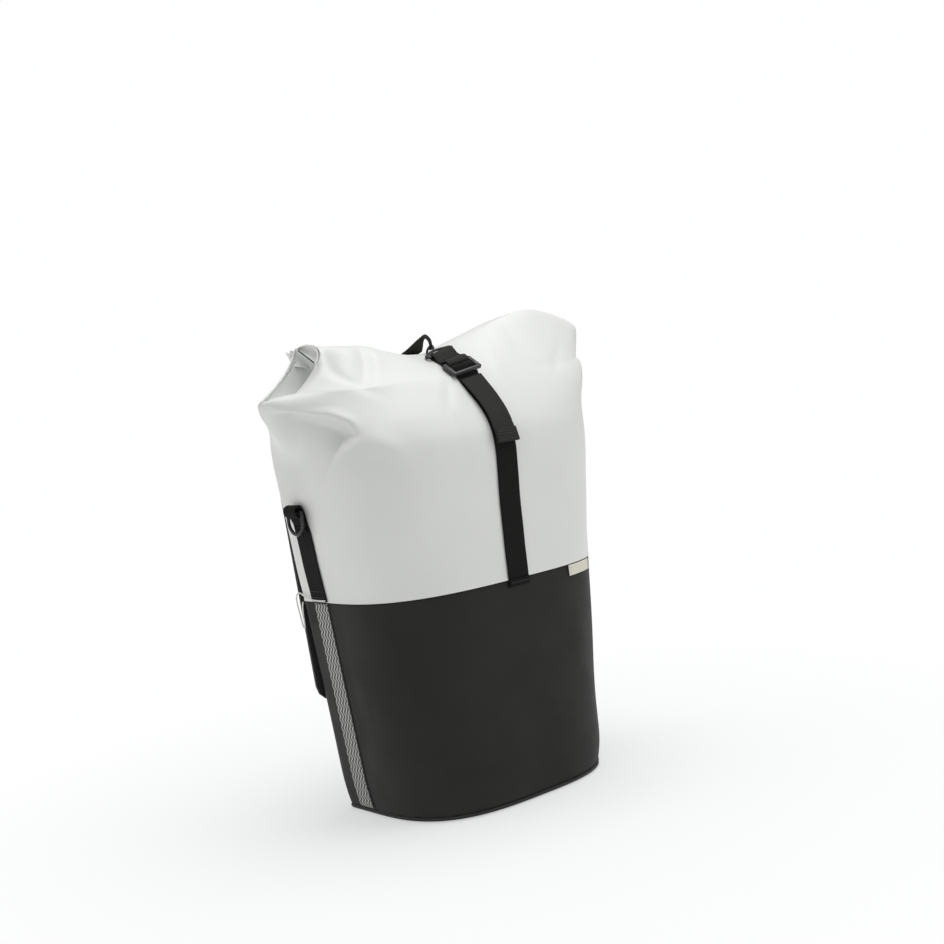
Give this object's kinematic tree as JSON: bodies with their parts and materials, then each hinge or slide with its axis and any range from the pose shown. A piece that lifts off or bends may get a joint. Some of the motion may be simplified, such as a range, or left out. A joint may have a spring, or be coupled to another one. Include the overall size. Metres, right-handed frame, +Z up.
{
  "type": "pannier bag",
  "caption": "Roll-top bicycle pannier with a two-tone tarpaulin shell, front closure strap, sprung rack hooks on a rail and a lower anti-sway hook.",
  "frame": {"origin": "middle of the flat bottom, where the bag stands", "axes": "+X along the bag's width, towards the front of the bicycle; +Y out of the back, towards the rack; +Z up"},
  "size_m": [0.356, 0.2139, 0.4595],
  "materials": {
    "light_tarpaulin": "satin coated tarpaulin",
    "dark_tarpaulin": "satin coated tarpaulin",
    "black_board": "fine grained polyethylene",
    "aluminium": "black anodised",
    "black_plastic": "moulded nylon",
    "grey_insert": "soft moulded",
    "steel": "plain",
    "black_webbing": "woven polyamide",
    "reflective": "silver zigzag print on dark tape",
    "cream_label": "woven",
    "dark_metal": "dark lacquered",
    "pale_cord": "braided",
    "black_piping": "smooth"
  },
  "bodies": {
    "bag": {"lower_shell": "dark_tarpaulin", "upper_shell": "light_tarpaulin", "roll_top": "light_tarpaulin", "mouth_stiffener": "black_board", "bottom_piping": "black_piping", "bottom_board": "black_board", "back_board": "black_board", "back_plate": "black_board", "hook_rail": "aluminium", "lower_rail": "aluminium", "front_strap": "black_webbing", "strap_tail": "black_webbing", "strap_tab": "black_webbing", "ladder_buckle": "black_plastic", "buckle_webbing": "black_webbing", "closure_loop": "black_webbing", "seam_label": "cream_label", "tag_cord": "pale_cord", "rail_screw_1": "steel", "rail_screw_2": "steel", "rail_screw_3": "steel", "rail_screw_4": "steel", "lower_rail_screw_1": "steel", "lower_rail_screw_2": "steel", "rail_cap_left": "black_plastic", "lower_rail_cap_left": "black_plastic", "side_webbing_left": "black_webbing", "reflective_strip_left": "reflective", "rail_cap_right": "black_plastic", "lower_rail_cap_right": "black_plastic", "side_webbing_right": "black_webbing", "reflective_strip_right": "reflective"},
    "hook_left": {"rack_hook_left": "black_plastic", "tube_insert_left": "grey_insert", "latch_pin_left": "steel", "latch_spring_left": "steel"},
    "catch_left": {"latch_left": "black_plastic"},
    "ring_left": {"d_ring_left": "dark_metal"},
    "hook_right": {"rack_hook_right": "black_plastic", "tube_insert_right": "grey_insert", "latch_pin_right": "steel", "latch_spring_right": "steel"},
    "catch_right": {"latch_right": "black_plastic"},
    "ring_right": {"d_ring_right": "dark_metal"},
    "sway_slider": {"anti_sway_slider": "black_plastic", "anti_sway_screw": "steel"},
    "sway_claw": {"anti_sway_hook": "black_plastic"},
    "closure_hook": {"strap_hook": "dark_metal"}
  },
  "joints": [
    {"name": "hook_left_slide", "type": "slide", "parent": "bag", "child": "hook_left", "axis": [-1, 0, 0], "range_m": [-0.04, 0.028]},
    {"name": "latch_left_swing", "type": "hinge", "parent": "hook_left", "child": "catch_left", "pos_m": [-0.059, 0.0993, 0.288], "axis": [0, -1, 0], "range_deg": [0, 70], "stiffness_Nm_per_rad": 0.08, "springref_deg": -20.05},
    {"name": "ring_left_swing", "type": "hinge", "parent": "bag", "child": "ring_left", "pos_m": [-0.1578, 0.042, 0.2985], "axis": [0, 1, 0], "range_deg": [-2, 160]},
    {"name": "hook_right_slide", "type": "slide", "parent": "bag", "child": "hook_right", "axis": [1, 0, 0], "range_m": [-0.04, 0.028]},
    {"name": "latch_right_swing", "type": "hinge", "parent": "hook_right", "child": "catch_right", "pos_m": [0.081, 0.0993, 0.288], "axis": [0, -1, 0], "range_deg": [0, 70], "stiffness_Nm_per_rad": 0.08, "springref_deg": -20.05},
    {"name": "ring_right_swing", "type": "hinge", "parent": "bag", "child": "ring_right", "pos_m": [0.1578, 0.042, 0.2985], "axis": [0, -1, 0], "range_deg": [-2, 160]},
    {"name": "anti_sway_slide", "type": "slide", "parent": "bag", "child": "sway_slider", "axis": [1, 0, 0], "range_m": [-0.095, 0.095]},
    {"name": "anti_sway_turn", "type": "hinge", "parent": "sway_slider", "child": "sway_claw", "pos_m": [0, 0.0953, 0.143], "axis": [0, 1, 0], "range_deg": [-90, 90]},
    {"name": "strap_hook_tilt", "type": "hinge", "parent": "bag", "child": "closure_hook", "pos_m": [0, -0.013, 0.4335], "axis": [1, 0, 0], "range_deg": [0, 18]}
  ]
}
